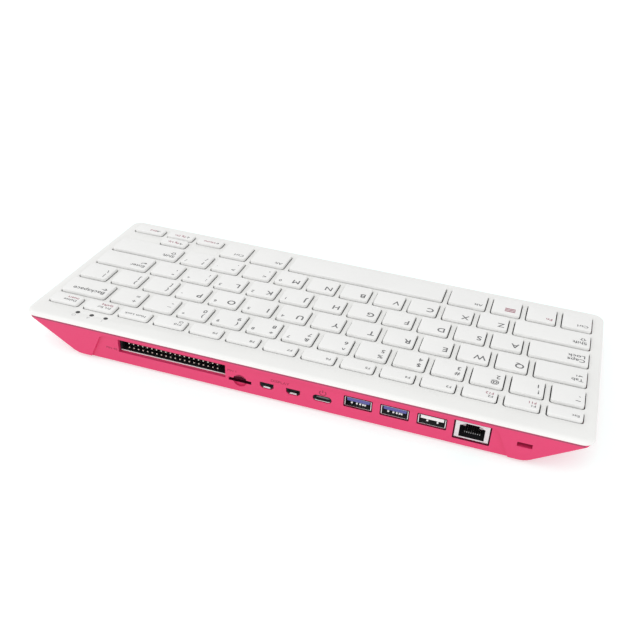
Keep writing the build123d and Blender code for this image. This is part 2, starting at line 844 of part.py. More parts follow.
# Display sockets with their centre tongues
for index, x in enumerate(display_places):
    with BuildPart() as display_socket:
        with BuildSketch(port_mouth):
            with Locations((x, display_z)):
                add(display_outline(0))
        extrude(amount=display_depth)
        with BuildSketch(port_mouth):
            with Locations((x, display_z)):
                add(display_outline(-display_skin))
                Rectangle(display_tongue_width, display_tongue_thickness, mode=Mode.SUBTRACT)
        extrude(amount=display_depth - display_back, mode=Mode.SUBTRACT)
        with BuildSketch(port_mouth):
            with Locations((x, display_z)):
                Rectangle(display_tongue_width, display_tongue_thickness)
        extrude(amount=display_tongue_setback, mode=Mode.SUBTRACT)
    finish(display_socket, f"display_socket_{index + 1}")

# Memory card socket behind its slot
with BuildPart() as card_socket:
    with BuildSketch(Plane.XZ.offset(-board_rear)):
        with Locations((card_x, card_z)):
            Rectangle(card_width, card_height)
    extrude(amount=card_depth)
    with BuildSketch(Plane.XZ.offset(-board_rear)):
        with Locations((card_x, card_z)):
            Rectangle(card_slot_width, card_height - 2 * card_skin)
    extrude(amount=card_depth - card_skin, mode=Mode.SUBTRACT)
finish(card_socket, "card_socket")

# Pin header: a box with its mouth behind the window
header_mouth_y = inner_rear - header_setback
header_mouth = Plane.XZ.offset(-header_mouth_y)
with BuildPart() as pin_header:
    with BuildSketch(header_mouth):
        with Locations((header_x, board_level + header_height / 2)):
            Rectangle(header_width, header_height)
    extrude(amount=header_depth)
    with BuildSketch(header_mouth):
        with Locations((header_x, header_z)):
            Rectangle(header_width - 2 * header_wall, header_cavity_height)
    extrude(amount=header_cavity_depth, mode=Mode.SUBTRACT)
    with BuildSketch(header_mouth):
        with Locations((header_x, header_z)):
            with GridLocations(pin_pitch, pin_pitch, 1, 2):
                Rectangle(
                    (pin_columns - 1) * pin_pitch + pin_size + 2 * pin_clearance,
                    pin_size + 2 * pin_clearance,
                )
    extrude(amount=header_depth + overrun, mode=Mode.SUBTRACT)
finish(pin_header, "pin_header")

# Header pins, bent down to the board behind the header
header_back_y = header_mouth_y - header_depth
with BuildPart() as header_pins:
    for row in (0, 1):
        pin_z = header_z + (row - 1 / 2) * pin_pitch
        bend_y = header_back_y - pin_bend_gap - row * pin_pitch
        with BuildSketch(header_mouth.offset(pin_setback)):
            with Locations((header_x, pin_z)):
                with GridLocations(pin_pitch, pin_pitch, pin_columns, 1):
                    Rectangle(pin_size, pin_size)
        extrude(amount=header_mouth_y - pin_setback - bend_y + pin_size / 2)
        with BuildSketch(Plane.XY.offset(board_level)):
            with Locations((header_x, bend_y)):
                with GridLocations(pin_pitch, pin_pitch, pin_columns, 1):
                    Rectangle(pin_size, pin_size)
        extrude(amount=pin_z + pin_size / 2 - board_level)
finish(header_pins, "header_pins")

# Socket on the board for the flat cable from the keys
socket_front = ribbon_y + ribbon_run - ribbon_reach
with BuildPart() as ribbon_socket:
    with BuildSketch(Plane.XY.offset(board_level)):
        with Locations((ribbon_x, socket_front + socket_size[1] / 2)):
            Rectangle(socket_size[0], socket_size[1])
    extrude(amount=socket_size[2])
    with BuildSketch(Plane.XZ.offset(-socket_front)):
        with Locations((ribbon_x, ribbon_z)):
            Rectangle(ribbon_width + 2 * socket_gap, ribbon_thickness + 2 * socket_gap)
    extrude(amount=-ribbon_reach - socket_gap, mode=Mode.SUBTRACT)
finish(ribbon_socket, "ribbon_socket")

# Flat cable from the membrane down into its socket
with BuildPart() as keyboard_ribbon:
    with BuildSketch(Plane.YZ.offset(ribbon_x)):
        with BuildLine():
            FilletPolyline(
                (ribbon_y, ribbon_top),
                (ribbon_y, ribbon_z),
                (ribbon_y + ribbon_run, ribbon_z),
                radius=ribbon_bend,
            )
        trace(line_width=ribbon_thickness)
    extrude(amount=ribbon_width / 2, both=True)
finish(keyboard_ribbon, "keyboard_ribbon")
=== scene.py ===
import math

import bmesh
import bpy
from mathutils import Euler, Matrix, Vector


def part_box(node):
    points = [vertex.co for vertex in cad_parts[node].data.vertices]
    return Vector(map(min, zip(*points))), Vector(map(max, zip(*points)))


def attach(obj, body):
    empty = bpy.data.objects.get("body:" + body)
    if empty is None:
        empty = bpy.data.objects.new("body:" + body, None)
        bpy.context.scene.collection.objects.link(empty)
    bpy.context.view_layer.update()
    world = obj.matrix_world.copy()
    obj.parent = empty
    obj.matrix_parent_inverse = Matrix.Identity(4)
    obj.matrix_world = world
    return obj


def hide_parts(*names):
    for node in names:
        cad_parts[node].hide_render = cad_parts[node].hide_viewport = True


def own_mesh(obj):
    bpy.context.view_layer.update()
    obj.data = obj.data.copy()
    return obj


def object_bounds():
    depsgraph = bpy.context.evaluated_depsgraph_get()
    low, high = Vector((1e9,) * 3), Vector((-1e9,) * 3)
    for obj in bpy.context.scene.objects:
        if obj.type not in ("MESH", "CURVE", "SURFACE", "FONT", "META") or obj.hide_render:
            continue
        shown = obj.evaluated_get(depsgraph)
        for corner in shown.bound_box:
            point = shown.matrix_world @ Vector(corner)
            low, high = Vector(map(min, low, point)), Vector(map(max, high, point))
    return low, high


# A keyboard computer: white key deck, pink hull, a row of sockets in the rear wall.
# +Z is up, +X is the typist's right and +Y is the rear. The frame is in metres. Pieces are
# modelled in millimetres, on the deck or on the port panel, and scaled as they are placed.
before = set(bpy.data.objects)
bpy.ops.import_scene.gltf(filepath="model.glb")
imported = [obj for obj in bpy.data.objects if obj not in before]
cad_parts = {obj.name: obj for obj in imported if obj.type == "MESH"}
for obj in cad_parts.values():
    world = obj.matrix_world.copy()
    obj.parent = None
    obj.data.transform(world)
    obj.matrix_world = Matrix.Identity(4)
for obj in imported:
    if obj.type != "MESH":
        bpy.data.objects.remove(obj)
cad_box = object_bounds()
mm = 0.001
to_metres = Matrix.Scale(mm, 4)

# Case and key field, as in the part's source
case_width = 286.0
case_depth = 122.0
rear_height = 22.7
front_height = 9.23
case_corner = 6.0
rim_height = 2.8
rim_wall = 2.0
edge_bevel = 1.4
deck_thickness = 1.6
side_margin = 6.11
rear_margin = 12.5
front_margin = 6.78
web = 2.45  # bar of deck between two openings
arrow_web = 1.2
row_units = 14.5  # width of a row in keys of one unit
letter_row_count = 4
function_row_count = 14
function_row_share = 0.642  # of the pitch of the letter rows
space_row_share = 0.997

# Keys: their rise above the deck, height, travel and the room round and under them
key_rise = 1.6
key_height = 3.4
key_travel = 1.5
key_gap = 0.45
travel_room = 0.3

# Lamp windows at the rear right of the deck
lamp_inset = 27.8
lamp_pitch = 7.9
lamp_setback = 3.9

# Places that follow from these sizes; the deck's own plane has its middle at zero
tilt = math.atan2(rear_height - front_height, case_depth)
deck_length = (case_depth - (rim_height - edge_bevel) * math.sin(tilt)) / math.cos(tilt)
deck_y = -(rim_height + edge_bevel) * math.sin(tilt) / 2
deck_z = rear_height - deck_length / 2 * math.sin(tilt)
deck = Matrix.Translation(Vector((0, deck_y, deck_z)) * mm) @ Matrix.Rotation(tilt, 4, "X") @ to_metres
field_width = case_width - 2 * side_margin
field_rear = deck_length / 2 - rear_margin
key_pitch = (field_width + web) / row_units
row_shares = letter_row_count + function_row_share + space_row_share
row_pitch = (deck_length - rear_margin - front_margin) / row_shares
number_rear = field_rear - function_row_share * row_pitch
space_rear = number_rear - letter_row_count * row_pitch
space_depth = space_row_share * row_pitch
arrow_depth = (space_depth - arrow_web) / 2
membrane_level = key_rise - key_height - key_travel - travel_room
lamp_places = [
    (field_width / 2 - lamp_inset + lamp_pitch * step, field_rear + lamp_setback) for step in (-1, 0, 1)
]

openings = {}


def place_row(keys, rear, depth, start=0.0):
    """Note the opening of each key in a row: its centre, width and depth on the deck."""
    left = start
    for node, units in keys:
        x = (left + units / 2 - row_units / 2) * key_pitch
        openings.setdefault(node, []).append((x, rear - depth / 2, units * key_pitch - web, depth))
        left += units
    return left


function_unit = row_units / function_row_count
function_row = ["escape_key"] + ["function_keys"] * 10 + ["num_lock_key", "print_screen_key", "delete_key"]
letter_rows = [
    [("number_keys", 1)] * 13 + [("backspace_key", 1.5)],
    [("tab_key", 1.5)] + [("upper_letter_keys", 1)] * 12 + [("backslash_key", 1)],
    [("caps_lock_key", 1.75)] + [("middle_letter_keys", 1)] * 11 + [("enter_key", 1.75)],
    [("left_shift_key", 2.25)] + [("lower_letter_keys", 1)] * 10 + [("right_shift_key", 2.25)],
]
space_row = [("left_control_key", 1), ("fn_key", 1), ("menu_key", 1), ("left_alt_key", 1.25)]
space_row += [("space_bar", 4.875), ("right_alt_key", 1.25), ("right_control_key", 1)]
arrow_row = [("left_arrow_key", 1), ("down_arrow_key", 1), ("right_arrow_key", 1.125)]
place_row([(node, function_unit) for node in function_row], field_rear, function_row_share * row_pitch - web)
for index, keys in enumerate(letter_rows):
    place_row(keys, number_rear - index * row_pitch, row_pitch - web)
arrow_start = place_row(space_row, space_rear, space_depth)
place_row(arrow_row, space_rear - space_depth + arrow_depth, arrow_depth, arrow_start)
place_row([("up_arrow_key", 1)], space_rear, arrow_depth, arrow_start + 1)

# Moulded plastic: clouds of colour, and a grain that dulls and roughens the surface
flow_scale = 45.0
flow_spread = 0.015
grain_detail = 2.0
grain_height = 0.00004
gloss_spread = 0.06

# Sheet metal: lines drawn along X, darker and smoother in their hollows
drawn_stretch = (40, 900, 900)
drawn_scale = 6.0
drawn_detail = 4.0
drawn_shade = 0.86
drawn_smoother = 0.08
drawn_rougher = 0.1
drawn_height = 0.00002
drawn_relief = 0.3


def start_finish(name):
    """New material: its node tree, its surface shader and its object coordinates."""
    material = bpy.data.materials.new(name)
    material.use_nodes = True
    tree = material.node_tree
    shader = tree.nodes["Principled BSDF"]
    coordinates = tree.nodes.new("ShaderNodeTexCoord").outputs["Object"]
    return material, tree, shader, coordinates


def drawn_out(tree, coordinates, stretch):
    """Object coordinates stretched along an axis."""
    mapping = tree.nodes.new("ShaderNodeMapping")
    mapping.inputs["Scale"].default_value = stretch
    tree.links.new(coordinates, mapping.inputs["Vector"])
    return mapping.outputs["Vector"]


def clouds(tree, coordinates, scale, detail=3.0):
    """Grey clouds over the piece."""
    noise = tree.nodes.new("ShaderNodeTexNoise")
    noise.inputs["Scale"].default_value = scale
    noise.inputs["Detail"].default_value = detail
    tree.links.new(coordinates, noise.inputs["Vector"])
    return noise.outputs["Fac"]


def blend(tree, value, low, high, start=0.3, end=0.7):
    """Colour or grey that goes from low to high as a value rises."""
    ramp = tree.nodes.new("ShaderNodeValToRGB")
    ramp.color_ramp.elements[0].position = start
    ramp.color_ramp.elements[0].color = (*low, 1)
    ramp.color_ramp.elements[1].position = end
    ramp.color_ramp.elements[1].color = (*high, 1)
    tree.links.new(value, ramp.inputs["Fac"])
    return ramp.outputs["Color"]


def emboss(tree, shader, pattern, height, strength):
    """Fine relief on the surface."""
    bump = tree.nodes.new("ShaderNodeBump")
    bump.inputs["Distance"].default_value = height
    bump.inputs["Strength"].default_value = strength
    tree.links.new(pattern, bump.inputs["Height"])
    tree.links.new(bump.outputs["Normal"], shader.inputs["Normal"])


def moulded(name, colour, roughness, grain=2200.0, relief=0.25, shine=0.5):
    """Moulded plastic: faint flow in the colour and a fine spark-eroded grain."""
    material, tree, shader, coordinates = start_finish(name)
    shader.inputs["Specular IOR Level"].default_value = shine
    low = [c * (1 - flow_spread) for c in colour]
    high = [min(1.0, c * (1 + flow_spread)) for c in colour]
    flow = clouds(tree, coordinates, flow_scale)
    tree.links.new(blend(tree, flow, low, high), shader.inputs["Base Color"])
    fine = clouds(tree, coordinates, grain, grain_detail)
    rough = blend(tree, fine, [roughness - gloss_spread] * 3, [roughness + gloss_spread] * 3)
    tree.links.new(rough, shader.inputs["Roughness"])
    emboss(tree, shader, fine, grain_height, relief)
    return material


def drawn_sheet(name, colour, roughness):
    """Bare or plated sheet metal with drawn lines along one axis."""
    material, tree, shader, coordinates = start_finish(name)
    lines = clouds(tree, drawn_out(tree, coordinates, drawn_stretch), drawn_scale, drawn_detail)
    low = [c * drawn_shade for c in colour]
    tree.links.new(blend(tree, lines, low, colour), shader.inputs["Base Color"])
    rough = blend(tree, lines, [roughness - drawn_smoother] * 3, [roughness + drawn_rougher] * 3)
    tree.links.new(rough, shader.inputs["Roughness"])
    shader.inputs["Metallic"].default_value = 1.0
    emboss(tree, shader, lines, drawn_height, drawn_relief)
    return material


def solder_mask(name):
    """Green board: darker and lighter lacquer with buried tracks."""
    material, tree, shader, coordinates = start_finish(name)
    tracks = tree.nodes.new("ShaderNodeTexBrick")
    tracks.inputs["Scale"].default_value = 260.0
    tracks.inputs["Mortar Size"].default_value = 0.12
    tracks.inputs["Color1"].default_value = (0.01, 0.13, 0.04, 1)
    tracks.inputs["Color2"].default_value = (0.012, 0.16, 0.05, 1)
    tracks.inputs["Mortar"].default_value = (0.02, 0.24, 0.08, 1)
    tree.links.new(coordinates, tracks.inputs["Vector"])
    tree.links.new(tracks.outputs["Color"], shader.inputs["Base Color"])
    rough = blend(tree, tracks.outputs["Fac"], [0.3] * 3, [0.42] * 3)
    tree.links.new(rough, shader.inputs["Roughness"])
    emboss(tree, shader, tracks.outputs["Fac"], height=0.00003, strength=0.4)
    return material


white_shell = moulded("white_shell", (0.83, 0.83, 0.815), 0.42)
# Painted shade for the gaps round the keys, on the key cap skirts: darker for the sides, paler for the front
# and rear
skirt_side_painted_shade = moulded("skirt_side_painted_shade", (0.2, 0.2, 0.2), 0.6, shine=0.2)
skirt_end_painted_shade = moulded("skirt_end_painted_shade", (0.6, 0.6, 0.6), 0.6, shine=0.2)
white_cap = moulded("white_cap", (0.84, 0.84, 0.83), 0.36, grain=2600.0, relief=0.18)
pink_shell = moulded("pink_shell", (0.69, 0.036, 0.142), 0.42)
legend_grey = moulded("legend_grey", (0.12, 0.12, 0.125), 0.6)
legend_pink = moulded("legend_pink", (0.32, 0.085, 0.13), 0.6)
lamp_grey = moulded("lamp_grey", (0.5, 0.5, 0.5), 0.6)
# Painted sheen on the black tongue of the power socket
tongue_painted_sheen = moulded("tongue_painted_sheen", (0.22, 0.22, 0.22), 0.55)
print_pink = moulded("print_pink", (0.3, 0.012, 0.05), 0.6)
# Painted shadow under the rim's overhang
painted_seam_shadow = moulded("painted_seam_shadow", (0.34, 0.05, 0.11), 0.6)
# Painted shade for the gaps round the sockets and in the card slot
painted_gap_shade = moulded("painted_gap_shade", (0.05, 0.003, 0.012), 0.7, shine=0.05)
foot_rubber = moulded("foot_rubber", (0.22, 0.22, 0.225), 0.8, grain=1400.0, relief=0.5)
dome_silicone = moulded("dome_silicone", (0.78, 0.78, 0.75), 0.5)
lens_black = moulded("lens_black", (0.012, 0.012, 0.014), 0.2)
# Black plastic for real black parts, and painted shade inside the sockets
black_plastic_and_painted_shade = moulded("black_plastic_and_painted_shade", (0.014, 0.014, 0.016), 0.5, shine=0.15)
blue_plastic = moulded("blue_plastic", (0.085, 0.09, 0.33), 0.4)
# White plastic for real white parts, and painted highlights at the socket lips
milk_plastic_and_painted_highlight = moulded("milk_plastic_and_painted_highlight", (0.82, 0.82, 0.82), 0.4)
chip_epoxy = moulded("chip_epoxy", (0.025, 0.025, 0.027), 0.55, grain=3000.0, relief=0.5)
cream_plastic = moulded("cream_plastic", (0.75, 0.68, 0.5), 0.45)
pad_silicone = moulded("pad_silicone", (0.33, 0.38, 0.44), 0.7)
ribbon_film = moulded("ribbon_film", (0.8, 0.8, 0.8), 0.35)
membrane_film = moulded("membrane_film", (0.06, 0.062, 0.065), 0.25)
tinned_steel = drawn_sheet("tinned_steel", (0.82, 0.82, 0.83), 0.3)
zinc_steel = drawn_sheet("zinc_steel", (0.66, 0.67, 0.68), 0.42)
mill_aluminium = drawn_sheet("mill_aluminium", (0.78, 0.78, 0.79), 0.38)
gold_plate = drawn_sheet("gold_plate", (0.76, 0.72, 0.63), 0.3)
board_green = solder_mask("board_green")


# Making a piece
def finish_piece(name, bm, body, materials, nodes=(), place=None, smooth=32):
    """Turn a bmesh into a piece that rides on a body and takes the place of CAD nodes."""
    if place is not None:
        bmesh.ops.transform(bm, matrix=place, verts=bm.verts)
    mesh = bpy.data.meshes.new(name)
    bm.to_mesh(mesh)
    bm.free()
    for material in materials:
        mesh.materials.append(material)
    mesh.shade_smooth()
    mesh.set_sharp_from_angle(angle=math.radians(smooth))
    piece = bpy.data.objects.new(name, mesh)
    bpy.context.scene.collection.objects.link(piece)
    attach(piece, body)
    if nodes:
        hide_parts(*nodes)
    return piece


def round_rectangle(bm, x, y, level, width, depth, corner, segments=5):
    """One flat face with round corners."""
    made = bmesh.ops.create_grid(bm, x_segments=1, y_segments=1, size=0.5)
    bmesh.ops.scale(bm, vec=(width, depth, 1), verts=made["verts"])
    bmesh.ops.translate(bm, vec=(x, y, level), verts=made["verts"])
    rounded = bmesh.ops.bevel(
        bm, geom=made["verts"], offset=corner, segments=segments, profile=0.5,
        affect="VERTICES", material=-1, clamp_overlap=True,
    )
    return next(face for vert in rounded["verts"] for face in vert.link_faces)


def raise_face(bm, face, height, keep=True):
    """Pull a face up into a block, or down into a pocket, and return the moved face."""
    made = bmesh.ops.extrude_face_region(bm, geom=[face])["geom"]
    verts = [item for item in made if isinstance(item, bmesh.types.BMVert)]
    bmesh.ops.translate(bm, vec=(0, 0, height), verts=verts)
    if not keep:
        bmesh.ops.delete(bm, geom=[face], context="FACES_ONLY")
    return next(item for item in made if isinstance(item, bmesh.types.BMFace))


def soften(bm, edges, offset, segments=3):
    """Round a set of edges."""
    bmesh.ops.bevel(
        bm, geom=edges, offset=offset, segments=segments, profile=0.5,
        affect="EDGES", material=-1, clamp_overlap=True,
    )


def block(bm, x, y, z, width, depth, height):
    """Small block with soft upper edges; x and y are its centre and z its foot."""
    foot = round_rectangle(bm, x, y, z, width, depth, 0.2 * min(width, depth), 2)
    soften(bm, raise_face(bm, foot, height).edges[:], 0.1 * min(width, depth, height), 1)


# Key caps, white above the deck; below it their skirt carries painted shade for the gaps round the keys,
# grey at the front and rear and darker at the sides
cap_corner = 1.5
cap_taper = math.radians(3)
cap_edge = 0.3
cap_wall = 1.1
cap_roof = 1.2
skirt_level = -0.05
bar_setback = 2.6
bar_length = 3.6
bar_width = 0.6
bar_height = 0.22
bar_corner = 0.29
bar_edge = 0.1


def key_cap(bm, x, y, width, depth):
    """One tapered key cap with round corners, a soft top edge, a skirt and a hollow underside."""
    width, depth = width - 2 * key_gap, depth - 2 * key_gap
    foot = round_rectangle(bm, x, y, key_rise - key_height, width, depth, cap_corner)
    top = foot
    for rise, keep in ((key_height - key_rise + skirt_level, True), (key_rise - skirt_level, False)):
        top = raise_face(bm, top, rise, keep)
        inset = rise * math.tan(cap_taper)
        share = ((width - 2 * inset) / width, (depth - 2 * inset) / depth, 1)
        bmesh.ops.scale(bm, vec=share, verts=top.verts[:], space=Matrix.Translation((-x, -y, 0)))
        width, depth = width - 2 * inset, depth - 2 * inset
    bmesh.ops.inset_region(bm, faces=[foot], thickness=cap_wall, use_even_offset=True)
    raise_face(bm, foot, key_height - cap_roof, keep=False)
    soften(bm, top.edges[:], cap_edge)


def finger_bar(bm, x, y, depth):
    """Short raised bar that a finger feels at the front of a home key."""
    bar_y = y - depth / 2 + bar_setback
    foot = round_rectangle(bm, x, bar_y, key_rise, bar_length, bar_width, bar_corner, 4)
    soften(bm, raise_face(bm, foot, bar_height).edges[:], bar_edge, 2)


home_keys = [openings["middle_letter_keys"][index] for index in (3, 6)]
cap_skins = [white_cap, skirt_side_painted_shade, skirt_end_painted_shade]
for node, places in openings.items():
    caps = bmesh.new()
    for place in places:
        key_cap(caps, *place)
        if place in home_keys:
            finger_bar(caps, place[0], place[1], place[3])
    bmesh.ops.recalc_face_normals(caps, faces=caps.faces)
    # Skirt faces below the deck get painted shade, darker where they face the sides
    for face in caps.faces:
        if face.calc_center_median().z < skirt_level:
            facing_side = abs(face.normal.x) > 0.5
            face.material_index = cap_skins.index(skirt_side_painted_shade if facing_side else skirt_end_painted_shade)
    finish_piece(f"caps_{node}", caps, node, cap_skins, [node], deck)

# Legends on the keys, readable from the front
capital_share = 0.682  # height of a capital in type of size 1
stroke_share = 0.03  # of a capital's height, added to each side of a stroke
word_stretch = 1.1
print_gap = 0.008
inks = [legend_grey, legend_pink]
grey, pink = 0, 1
power_sign = "\u23fb"
tab_sign = "\u21e5"
enter_sign = "\u21b5"
shift_sign = "\u21e7"
bars_sign = "\u2630"
left_sign = "\u2190"
up_sign = "\u2191"
right_sign = "\u2192"
down_sign = "\u2193"


def thicken(bm, old_verts, amount):
    """Push the outline of new flat letters outwards, for a heavier stroke."""
    push = {}
    for edge in bm.edges:
        if edge.is_boundary and edge.verts[0] not in old_verts:
            first, second = (vert.co for vert in edge.verts)
            out = Vector((second.y - first.y, first.x - second.x, 0)).normalized()
            if out.dot((first + second) / 2 - edge.link_faces[0].calc_center_median()) < 0:
                out.negate()
            for vert in edge.verts:
                push[vert] = push.get(vert, Vector()) + out
    for vert, out in push.items():
        vert.co += amount * out.normalized()


def add_text(bm, body, x, y, cap, ink, align="LEFT", wide=1.0):
    """Flat letters with capitals of a given height; x and y are where their foot starts or ends."""
    curve = bpy.data.curves.new("letters", "FONT")
    curve.body = body
    curve.align_x = align
    curve.resolution_u = 3
    holder = bpy.data.objects.new("letters", curve)
    mesh = bpy.data.meshes.new_from_object(holder)
    old_verts, old_faces = set(bm.verts), set(bm.faces)
    bm.from_mesh(mesh)
    verts = [vert for vert in bm.verts if vert not in old_verts]
    size = cap / capital_share
    bmesh.ops.scale(bm, vec=(size * wide, size, 1), verts=verts)
    thicken(bm, old_verts, stroke_share * cap)
    bmesh.ops.translate(bm, vec=(x, y, 0), verts=verts)
    for face in bm.faces:
        if face not in old_faces:
            face.material_index = ink
    bpy.data.objects.remove(holder)
    bpy.data.curves.remove(curve)
    bpy.data.meshes.remove(mesh)


# Each line of a legend: text, column from the left side (or, below zero, from the right side),
# drop from the rear, height of capitals and ink
def letter(body, column=2.05, drop=3.0, cap=4.0):
    """Large letter at the rear left of a key."""
    return [(body, column, drop, cap, grey)]


def pair(upper, lower, column=2.4, upper_drop=2.3, lower_drop=7.4, cap=2.9):
    """Sign above a digit or a second sign."""
    return [(upper, column, upper_drop, cap, grey), (lower, column, lower_drop, cap, grey)]


def words(first, second="", cap=2.8, column=2.1, first_drop=2.9, second_drop=6.7):
    """Word with a second line under it."""
    return [(first, column, first_drop, cap, grey), (second, column, second_drop, cap, grey)]


def short_words(first, second="", ink=grey, column=2.2, first_drop=2.3, second_drop=4.9, cap=1.7):
    """Smaller word, with a second line, for the low keys of the rear row."""
    return [(first, column, first_drop, cap, grey), (second, column, second_drop, cap, ink)]


def arrow(sign, body, sign_column=2.1, sign_drop=2.2, sign_cap=2.2, column=5.0, drop=2.4, cap=1.8):
    """Arrow with a word beside it."""
    return [(sign, sign_column, sign_drop, sign_cap, grey), (body, column, drop, cap, pink)]


def pink_sign(body, column, drop, cap):
    """One pink word or sign."""
    return [(body, column, drop, cap, pink)]


def note(body, column=-2.6, drop=2.3, cap=2.3):
    """Small digit at the rear right, for the number block inside the letters."""
    return [(body, column, drop, cap, grey)]


legends = {
    "escape_key": [short_words("Esc")],
    "function_keys": [short_words("F1", "F11", pink), short_words("F2", "F12", pink)]
    + [short_words(f"F{number}") for number in range(3, 10)]
    + [short_words("F10", power_sign)],
    "num_lock_key": [short_words("Num Lock")],
    "print_screen_key": [short_words("Prt Scr", "SysRq", pink)],
    "delete_key": [short_words("Delete", "Insert", pink)],
    "number_keys": [pair(*signs) for signs in zip("~!@#$%^&*()_+", "`1234567890-=")],
    "backspace_key": [words("Backspace", left_sign)],
    "tab_key": [words("Tab", tab_sign, cap=2.4)],
    "upper_letter_keys": [letter(body) for body in "QWERTYUIOP"] + [pair("{", "["), pair("}", "]")],
    "backslash_key": [pair("|", "\\")],
    "caps_lock_key": [words("Caps", "Lock")],
    "middle_letter_keys": [letter(body) for body in "ASDFGHJKL"] + [pair(":", ";"), pair('"', "'")],
    "enter_key": [words("Enter", enter_sign, cap=2.5)],
    "left_shift_key": [words("Shift", shift_sign, cap=2.6)],
    "lower_letter_keys": [letter(body) for body in "ZXCVBNM"]
    + [pair("<", ","), pair(">", "."), pair("?", "/")],
    "right_shift_key": [words("Shift", shift_sign, cap=2.6)],
    "left_control_key": [words("Ctrl", cap=2.3)],
    "fn_key": [pink_sign("Fn", column=2.1, drop=2.9, cap=2.3)],
    "menu_key": [pink_sign(bars_sign, column=2.6, drop=3.0, cap=4.6)],
    "left_alt_key": [words("Alt", cap=2.3)],
    "right_alt_key": [words("Alt", cap=2.3)],
    "right_control_key": [words("Ctrl", cap=2.3)],
    "left_arrow_key": [arrow(left_sign, "Home")],
    "down_arrow_key": [arrow(down_sign, "Pg Dn")],
    "right_arrow_key": [arrow(right_sign, "End")],
    "up_arrow_key": [arrow(up_sign, "Pg Up")],
}
number_block = {
    "number_keys": zip((7, 8, 9, 10), "789*"),
    "upper_letter_keys": zip((6, 7, 8, 9), "456-"),
    "middle_letter_keys": zip((6, 7, 8, 9), "123+"),
    "lower_letter_keys": zip((6, 8, 9), "0./"),
}
for node, keys in number_block.items():
    for index, body in keys:
        legends[node][index] = legends[node][index] + note(body)

cap_print = deck @ Matrix.Translation((0, 0, key_rise + print_gap))
for node, keys in legends.items():
    print_layer = bmesh.new()
    for (x, y, width, depth), lines in zip(openings[node], keys):
        for body, column, drop, cap, ink in lines:
            align = "LEFT" if column > 0 else "RIGHT"
            foot_x = x + (column - width / 2 if column > 0 else column + width / 2)
            wide = 1.0 if len(body) == 1 and body.isascii() else word_stretch
            add_text(print_layer, body, foot_x, y + depth / 2 - drop - cap, cap, ink, align, wide)
    finish_piece(f"legends_{node}", print_layer, node, inks, (), cap_print)

# Rubber domes, one under each key
dome_height = key_rise - cap_roof - membrane_level
dome_foot = 3.3
dome_room = 0.2
dome_top_share = 0.56
for node, places in openings.items():
    domes = bmesh.new()
    for x, y, width, depth in places:
        seat = Matrix.Translation((x, y, membrane_level + dome_height / 2))
        radius = min(dome_foot, depth / 2 - key_gap - cap_wall - dome_room)
        bmesh.ops.create_cone(
            domes, cap_ends=True, segments=12, radius1=radius, radius2=dome_top_share * radius,
            depth=dome_height, matrix=seat,
        )
    piece = finish_piece(
        f"domes_{node}", domes, "case", [dome_silicone], ["rubber_domes"], deck
    )
    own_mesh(piece)

# Top case: a rounded block, hollow below, with an opening for each key and a seam over the hull
seam = 0.35
seam_depth = 1.1
rim_round = 1.9
opening_corner = 1.7
opening_edge = 0.12
lamp_hole_radius = 1.2
lamp_radius = 1.1
shell = bmesh.new()
rim_foot = round_rectangle(shell, 0, 0, seam - rim_height, case_width, deck_length, case_corner, 10)
soften(shell, raise_face(shell, rim_foot, rim_height - seam).edges[:], rim_round, 6)
top_face = max(shell.faces, key=lambda face: face.calc_center_median().z)
top_edges = top_face.edges[:]
bmesh.ops.delete(shell, geom=[top_face], context="FACES_ONLY")
bmesh.ops.inset_region(shell, faces=[rim_foot], thickness=seam_depth, use_even_offset=True)
rim_foot = raise_face(shell, rim_foot, -seam, keep=False)
bmesh.ops.inset_region(shell, faces=[rim_foot], thickness=rim_wall - seam_depth, use_even_offset=True)
roof = raise_face(shell, rim_foot, rim_height - deck_thickness, keep=False)
roof_edges = roof.edges[:]
bmesh.ops.delete(shell, geom=[roof], context="FACES_ONLY")
opening_edges = []
for x, y, width, depth in [place for places in openings.values() for place in places]:
    hole = round_rectangle(shell, x, y, 0, width, depth, opening_corner)
    opening_edges += hole.edges[:]
    bmesh.ops.delete(shell, geom=[hole], context="FACES_ONLY")
for x, y in lamp_places:
    seat = Matrix.Translation((x, y, 0))
    circle = bmesh.ops.create_circle(shell, segments=20, radius=lamp_hole_radius, matrix=seat)
    opening_edges += list({edge for vert in circle["verts"] for edge in vert.link_edges})
walls = bmesh.ops.extrude_edge_only(shell, edges=opening_edges)["geom"]
low_verts = [item for item in walls if isinstance(item, bmesh.types.BMVert)]
low_edges = [item for item in walls if isinstance(item, bmesh.types.BMEdge)]
bmesh.ops.translate(shell, vec=(0, 0, -deck_thickness), verts=low_verts)
bmesh.ops.triangle_fill(shell, use_beauty=True, edges=top_edges + opening_edges)
bmesh.ops.triangle_fill(shell, use_beauty=True, edges=roof_edges + low_edges)
bmesh.ops.recalc_face_normals(shell, faces=shell.faces)
soften(shell, opening_edges, opening_edge, 2)
finish_piece("deck_shell", shell, "case", [white_shell], ["top_case"], deck)

# Lamp windows, from the membrane up to the deck
lenses = bmesh.new()
for x, y in lamp_places:
    seat = Matrix.Translation((x, y, membrane_level / 2))
    bmesh.ops.create_cone(
        lenses, cap_ends=True, segments=24, radius1=lamp_radius, radius2=lamp_radius,
        depth=-membrane_level, matrix=seat,
    )
finish_piece("lamp_windows", lenses, "case", [lens_black], ["indicator_lenses"], deck)

